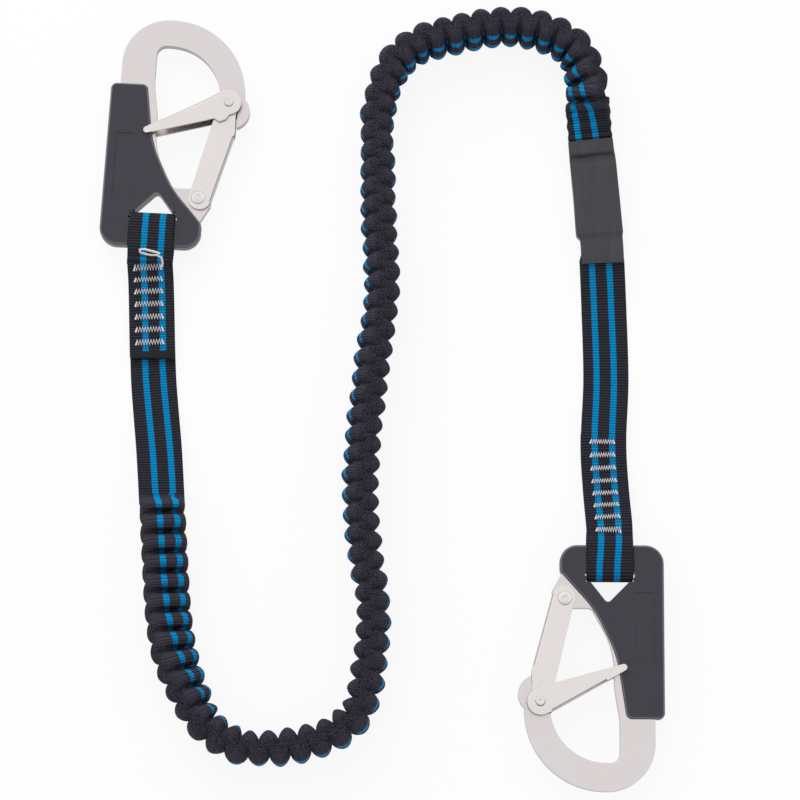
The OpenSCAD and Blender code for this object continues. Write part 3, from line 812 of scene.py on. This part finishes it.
loose_end = [(0.0062, 0.0068), (0.0040, 0.0074), (0.0020, 0.0066), (0.0010, 0.0040), (0.0012, 0.0005),
             (0.0006, -0.0030), (0.0001, -0.0052), (-0.0012, -0.0056), (-0.0016, -0.0030), (-0.0009, 0.0005),
             (-0.0004, 0.0035), (0.0003, 0.0058)]
for end in ends:
    faces = (-webbing_t / 2 - thread_proud[end][0] * thread_r,
             tail_layer + webbing_t / 2 + thread_proud[end][1] * thread_r)
    runs = []
    for height in faces:
        for k in range(bar_count[end]):
            middle = along_strap(end, bar_first[end] + bar_pitch[end] * k)
            runs.append([(middle + bar_tall[end] * (0.5 - j % 2), bar_aside[end] + bar_w[end] * (j / (2 * zigzags) - 0.5), height)
                         for j in range(2 * zigzags + 1)])
    if end == "a":
        runs.append([(along_strap(end, length), side, tail_height(length)) for length, side in loose_end])
    sewn = thread_through("sewn_bars_" + end, runs)
    lay_along(sewn)
    bpy.ops.object.shade_smooth()
    sewn.data.materials.append(spun)
    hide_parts("bartacks_" + end)
    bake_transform(sewn)


# Lap splice
# The flat end of the gathered tube lies on the flat webbing of the second hook and is sewn to it
# with a box of grey thread; both are covered by the sleeve.
hidden_cloth, surface = new_finish("lap_webbing", cloth_dark, 0.8)
lap_fibres = object_noise(hidden_cloth, 900, 3)
set_colours(hidden_cloth, surface, lap_fibres, cloth_dark, cloth_light)
set_bump(hidden_cloth, surface, lap_fibres, 0.5, 0.0002)
for node, finish in (("lap_end", hidden_cloth), ("lap_stitching", spun)):
    frame["nodes"][node].data.materials.clear()
    frame["nodes"][node].data.materials.append(finish)


# Tube end
# Before the sleeve the gathered tube comes together and flattens, with a few small puckers left
# across its faces where the elastic stops pulling.
sleeve_from = knot_reach[sleeve_knot] + 0.001
ring_sides = 32
end_puckers = 4
pucker_height = 0.0006


def swept_tube(name, rings, squareness):
    """An open tube of rounded oblong rings: each is x, low y, high y, low z and high z."""
    bpy.ops.object.select_all(action="DESELECT")
    bpy.ops.mesh.primitive_circle_add(vertices=ring_sides, radius=1, rotation=(0, math.pi / 2, 0))
    swept = bpy.context.object
    swept.name = name
    bpy.ops.object.transform_apply(location=True, rotation=True, scale=True)
    bpy.ops.object.mode_set(mode="EDIT")
    bpy.ops.mesh.select_all(action="SELECT")
    for near, far in zip(rings, rings[1:]):
        bpy.ops.mesh.extrude_edges_move(TRANSFORM_OT_translate={"value": (far[0] - near[0], 0, 0)})
    bpy.ops.mesh.select_all(action="SELECT")
    bpy.ops.mesh.normals_make_consistent(inside=False)
    bpy.ops.object.mode_set(mode="OBJECT")
    for vertex in swept.data.vertices:
        x, low_y, high_y, low_z, high_z = rings[vertex.index // ring_sides]
        turn = math.atan2(vertex.co.z, vertex.co.y)
        side = squared(math.cos(turn), squareness)
        rise = squared(math.sin(turn), squareness)
        vertex.co = (x, (low_y + high_y) / 2 + side * (high_y - low_y) / 2,
                     (low_z + high_z) / 2 + rise * (high_z - low_z) / 2)
    return swept


rings = []
end_length = sleeve_from + 0.006 - (tube_to - 0.004)
for k in range(49):
    share = k / 48
    x = tube_to - 0.004 + share * end_length
    half_t = 0.0046 - 0.0010 * min(1, share / 0.3) + pucker_height * (1 + math.cos(2 * math.pi * end_puckers * share)) * (share < 0.75)
    half_w = 0.0122 + 0.0003 * math.cos(2 * math.pi * end_puckers * share + 1.5)
    rings.append((x, -half_w, half_w, 0.0005 - half_t, 0.0005 + half_t))
tube_end = swept_tube("tube_end", rings, 0.35)
bpy.ops.object.mode_set(mode="EDIT")
bpy.ops.mesh.select_all(action="SELECT")
bpy.ops.mesh.fill_holes(sides=0)
bpy.ops.object.mode_set(mode="OBJECT")
cloth_map = tube_end.data.uv_layers.new(name="cloth")
for loop in tube_end.data.loops:
    place = tube_end.data.vertices[loop.vertex_index].co
    cloth_map.data[loop.index].uv = (place.x, place.y - gather_shift)
lay_along(tube_end)
bpy.ops.object.shade_smooth()
tube_end.data.materials.append(striped_cloth)
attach(tube_end, "strap")


# Sleeve
# A dark grey shrink sleeve covers the splice. It is tight on the strap, so it shows the thicker
# lap at its upper end, the step where the tube stops, and a faint crease down its middle.
sleeve_wall = 0.0009
sleeve_ridge = 0.0004
sleeve_to = knot_reach[splice_knot] + 0.0007
sleeve_grey = (0.020, 0.019, 0.027)
sleeve_pale = (0.048, 0.047, 0.056)

shrunk, surface = new_finish("shrink_sleeve", sleeve_grey, 0.46)
streaks = object_noise(shrunk, 190, 3, (1, 0.10, 1), math.radians(-7))
set_colours(shrunk, surface, streaks, sleeve_grey, sleeve_pale)
shrunk.node_tree.links.new(set_range(shrunk, streaks, 0.38, 0.54), surface.inputs["Roughness"])
set_bump(shrunk, surface, object_noise(shrunk, 700, 3), 0.2, 0.00012)

sleeve_shape = [
    (0.000, -0.0126, 0.0126, -0.0054, 0.0048), (0.0080, -0.0127, 0.0127, -0.0058, 0.0048),
    (0.0098, -0.0130, 0.0128, -0.0036, 0.0044), (0.0118, -0.0131, 0.0128, -0.0036, 0.0044),
    (0.0150, -0.0131, 0.0128, -0.0045, 0.0046), (0.0300, -0.0130, 0.0128, -0.0045, 0.0046),
    (0.0535, -0.0128, 0.0134, -0.0042, 0.0044), (0.0570, -0.0123, 0.0114, -0.0032, 0.0040),
    (1.0000, -0.0122, 0.0113, -0.0030, 0.0040)]
sleeve_length = sleeve_to - sleeve_from
rings = []
for k in range(73):
    at = sleeve_length * k / 72
    for near, far in zip(sleeve_shape, sleeve_shape[1:]):
        if near[0] <= at <= far[0]:
            share = (at - near[0]) / (far[0] - near[0])
            soft = 0.5 - 0.5 * math.cos(math.pi * share)
            rings.append((sleeve_from + at, *(a + soft * (b - a) for a, b in zip(near[1:], far[1:]))))
            break
sleeve = swept_tube("shrink_sleeve", rings, 0.32)
for vertex in sleeve.data.vertices:
    if abs(vertex.co.y) < 0.002 and vertex.co.z < 0:
        vertex.co.z -= sleeve_ridge
wall = sleeve.modifiers.new("wall", "SOLIDIFY")
wall.thickness = sleeve_wall
wall.offset = -1
apply_modifiers(sleeve)
lay_along(sleeve)
bpy.ops.object.shade_smooth_by_angle(angle=math.radians(50))
sleeve.data.materials.append(shrunk)
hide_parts("sleeve")
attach(sleeve, "strap")


# Bar rounds
# Seen from hook to hook, the strap is three lengths of one webbing: flat, gathered over the
# elastic, and flat again from the splice. Here only the place where it rounds each strap bar is found.
round_bar = {end: swing_at[end] - bar_round * to_bow[end] for end in ends}


# Studio
# A pale floor under the tether, a broad soft lamp beyond its upper end and even light all round;
# the camera stands back from the near end and looks down on the tether at a steep angle.
picture_w = 0.440
look_at = Vector((0.0121, -0.0027, 0.008))
camera_distance = 1.5
camera_elevation = math.radians(78)
floor_white = (0.95, 0.95, 0.95)
floor_glow = 0.89
ambient = 0.68

scene = bpy.context.scene
scene.view_settings.view_transform = "Standard"
bpy.ops.object.select_all(action="DESELECT")
bpy.ops.mesh.primitive_plane_add(size=6)
floor = bpy.context.object
floor.name = "floor"


def seen_directly(shader):
    """1 for rays from the camera, from gloss or through glass, and 0 for the rest."""
    path = shader_node(shader, "ShaderNodeLightPath")
    gloss = calculated(shader, "MAXIMUM", path.outputs["Is Camera Ray"], path.outputs["Is Glossy Ray"])
    return calculated(shader, "MAXIMUM", gloss, path.outputs["Is Transmission Ray"])


paper, surface = new_finish("floor_paper", floor_white, 0.9)
glow = shader_node(paper, "ShaderNodeEmission", {"Color": (1, 1, 1, 1), "Strength": 1.0})
mixed = shader_node(paper, "ShaderNodeMixShader", {
    0: calculated(paper, "MULTIPLY", seen_directly(paper), floor_glow),
    1: surface.outputs[0], 2: glow.outputs[0]})
paper.node_tree.links.new(
    mixed.outputs[0], paper.node_tree.nodes["Material Output"].inputs["Surface"])
floor.data.materials.append(paper)

world = bpy.data.worlds.new("studio")
scene.world = world
world.use_nodes = True
background = world.node_tree.nodes["Background"]
background.inputs["Color"].default_value = (1, 1, 1, 1)
place = shader_node(world, "ShaderNodeTexCoord")
parts = shader_node(world, "ShaderNodeSeparateXYZ", {"Vector": place.outputs["Generated"]})
toward_lamp = calculated(world, "MULTIPLY_ADD", parts.outputs["Y"], 0.6)
world.node_tree.links.new(parts.outputs["Z"], toward_lamp.node.inputs[2])
shade = shader_node(world, "ShaderNodeMapRange", {
    "Value": toward_lamp, "From Min": -0.35, "From Max": 0.65, "To Min": 0.10, "To Max": 0.94})
from_band = calculated(world, "ABSOLUTE", calculated(world, "SUBTRACT", parts.outputs["Z"], 0.62))
band = shader_node(world, "ShaderNodeMapRange", {
    "Value": from_band, "From Min": 0.20, "From Max": 0.05, "To Min": 0.0, "To Max": 0.18})
shown = calculated(world, "ADD", shade.outputs["Result"], band.outputs["Result"])
path = shader_node(world, "ShaderNodeLightPath")
light = mixed_value(world, path.outputs["Is Glossy Ray"], ambient, shown)
world.node_tree.links.new(
    mixed_value(world, path.outputs["Is Camera Ray"], light, 1.0), background.inputs["Strength"])

bpy.ops.object.light_add(type="AREA", location=(-0.6, 1.7, 1.1))
lamp = bpy.context.object
lamp.name = "soft_box"
lamp.data.shape = "RECTANGLE"
lamp.data.size = 2.4
lamp.data.size_y = 1.4
lamp.data.energy = 28
lamp.visible_glossy = False
lamp.rotation_euler = (look_at - lamp.location).to_track_quat("-Z", "Y").to_euler()

back = Vector((0, -math.cos(camera_elevation), math.sin(camera_elevation)))
bpy.ops.object.camera_add(location=look_at + camera_distance * back,
                          rotation=(math.pi / 2 - camera_elevation, 0, 0))
camera = bpy.context.object
camera.name = "camera"
camera.data.sensor_width = 36
camera.data.lens = camera.data.sensor_width * camera_distance / picture_w
scene.camera = camera

bpy.data.objects.remove(strap_line)
